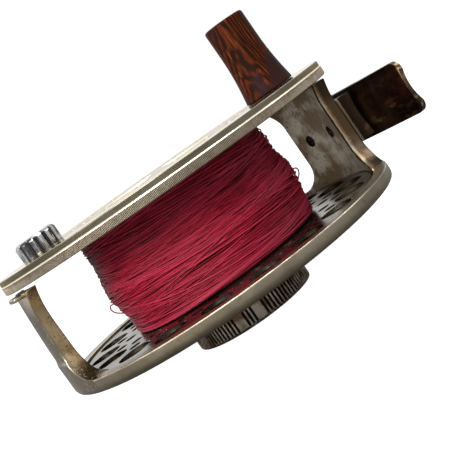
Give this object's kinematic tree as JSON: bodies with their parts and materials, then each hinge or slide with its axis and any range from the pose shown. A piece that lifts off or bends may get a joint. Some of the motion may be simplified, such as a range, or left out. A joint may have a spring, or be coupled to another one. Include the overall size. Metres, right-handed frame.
{
  "type": "fly reel",
  "caption": "Single-action fly fishing reel: open cage frame with foot, perforated spool wound with red line, wooden crank handle and rear drag knob.",
  "frame": {"origin": "centre of the drag knob's flat outer face, on the reel's axis, where the reel stands", "axes": "+Z along the reel's axis from the drag knob towards the crank face, +X towards the reel foot"},
  "size_m": [0.0963, 0.091, 0.0611],
  "materials": {
    "frame_alloy": "worn satin, champagne patina",
    "spool_alloy": "satin turned, fine straight knurl on the rim",
    "flange_alloy": "polished",
    "knob_alloy": "satin with dark slots",
    "foot_bronze": "dark bronze, glossy, worn",
    "steel": "bright",
    "cap_steel": "polished dome",
    "dark_steel": "blackened",
    "brass": "machined",
    "chrome": "bright plate",
    "rosewood": "oiled, streaky grain",
    "cork": "pressed cork",
    "red_line": "thin twisted line, slightly glossy"
  },
  "bodies": {
    "frame": {"frame_cage": "frame_alloy", "reel_foot": "foot_bronze", "foot_screw_1": "dark_steel", "foot_screw_2": "dark_steel", "spindle": "steel", "spindle_screw_1": "steel", "spindle_screw_2": "steel", "spindle_screw_3": "steel", "thrust_washer": "brass", "pawl_pin": "steel", "spring_post": "steel", "pawl_spring": "steel"},
    "knob": {"drag_knob": "knob_alloy"},
    "drag_pull": {"drag_rod": "steel", "drag_spring": "steel", "pressure_plate": "steel", "brake_pad": "cork"},
    "pawl": {"click_pawl": "brass"},
    "spool": {"spool_face": "spool_alloy", "spool_drum": "spool_alloy", "inner_flange": "flange_alloy", "flange_rivet_1": "steel", "flange_rivet_2": "steel", "flange_rivet_3": "steel", "flange_rivet_4": "steel", "face_screw_1": "steel", "face_screw_2": "steel", "face_screw_3": "steel", "face_screw_4": "steel", "bush_lower": "brass", "bush_upper": "brass", "ratchet_gear": "steel", "drag_disc": "steel", "spool_cap": "cap_steel", "handle_axle": "steel", "counterweight_knob": "chrome", "counterweight_screw": "steel", "line_core": "red_line", "line_winding": "red_line"},
    "handle": {"handle_grip": "rosewood"}
  },
  "joints": [
    {"name": "spool_spin", "type": "hinge", "parent": "frame", "child": "spool", "pos_m": [0, 0, 0.02], "axis": [0, 0, 1], "continuous": true},
    {"name": "handle_spin", "type": "hinge", "parent": "spool", "child": "handle", "pos_m": [0.03062, -0.01175, 0.045], "axis": [0, 0, 1], "continuous": true},
    {"name": "drag_knob_turn", "type": "hinge", "parent": "frame", "child": "knob", "pos_m": [0, 0, 0.0035], "axis": [0, 0, 1], "range_deg": [0, 180]},
    {"name": "drag_pull_slide", "type": "slide", "parent": "frame", "child": "drag_pull", "axis": [0, 0, -1], "range_m": [0, 0.0005]},
    {"name": "pawl_swing", "type": "hinge", "parent": "frame", "child": "pawl", "pos_m": [0, 0.0117, 0.0137], "axis": [0, 0, 1], "range_deg": [-12, 12], "stiffness_Nm_per_rad": 0.0005}
  ],
  "couplings": [
    {"joint": "drag_knob_turn", "follows": "drag_pull_slide", "rad_per_m": 6283.2}
  ]
}
